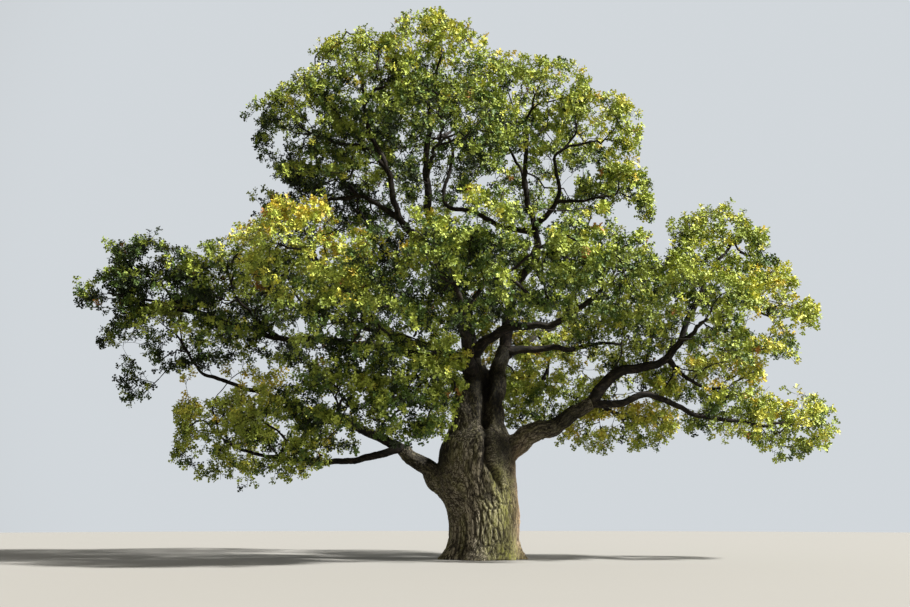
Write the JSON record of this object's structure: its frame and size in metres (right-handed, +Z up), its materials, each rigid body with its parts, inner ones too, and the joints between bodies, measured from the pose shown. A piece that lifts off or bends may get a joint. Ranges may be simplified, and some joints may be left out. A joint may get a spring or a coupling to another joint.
{
  "type": "oak tree",
  "caption": "Broad spreading oak: a stout flared trunk forks low into rising stems and long level boughs under a wide domed crown of leafy masses, cut flat at the ground.",
  "frame": {"origin": "middle of the flat cut under the trunk, at ground level", "axes": "+Z up the trunk, +X along the crown's widest spread, to the right in the picture, +Y away from the picture's camera"},
  "size_m": [31.4934, 22.6027, 23.2609],
  "materials": {
    "bark": "rough, deeply furrowed grey-brown bark",
    "limb_bark": "rough dark brown bark",
    "foliage": "matt to satin leaf, mid green with yellow and russet tints"
  },
  "bodies": {
    "root": {"back_centre": "foliage", "back_left": "foliage", "back_right": "foliage", "bough_back": "limb_bark", "bough_back_left": "limb_bark", "bough_back_right": "limb_bark", "bough_curved": "limb_bark", "bough_front": "limb_bark", "bough_front_left": "limb_bark", "bough_left_high": "limb_bark", "bough_left_low": "limb_bark", "bough_left_mid": "limb_bark", "bough_low_left": "limb_bark", "bough_low_right": "limb_bark", "bough_mid_right_a": "limb_bark", "bough_mid_right_b": "limb_bark", "bough_right_high": "limb_bark", "bough_right_low": "limb_bark", "bough_right_mid": "limb_bark", "bough_right_spur": "limb_bark", "bough_upper_left": "limb_bark", "bough_upper_right": "limb_bark", "crown_back": "foliage", "crown_back_left": "foliage", "crown_back_right": "foliage", "crown_front": "foliage", "crown_left_shoulder": "foliage", "crown_right_spur": "foliage", "crown_top": "foliage", "crown_top_left": "foliage", "crown_top_right": "foliage", "crown_upper_left": "foliage", "crown_upper_right": "foliage", "front_centre": "foliage", "front_left": "foliage", "front_left_low": "foliage", "front_right": "foliage", "leader_centre": "limb_bark", "leader_left": "limb_bark", "leader_right": "limb_bark", "left_arm_crest": "foliage", "left_arm_root": "foliage", "left_arm_tip": "foliage", "left_arm_under": "foliage", "low_back": "foliage", "low_left_front": "foliage", "low_left_inner": "foliage", "low_left_mid": "foliage", "low_left_outer": "foliage", "low_right_fringe": "foliage", "mid_right": "foliage", "right_arm_dome": "foliage", "right_arm_front": "foliage", "right_arm_low": "foliage", "right_arm_shoulder": "foliage", "right_arm_tip": "foliage", "right_centre": "foliage", "stem_left": "limb_bark", "stem_right": "limb_bark", "trunk": "bark"}
  },
  "joints": []
}
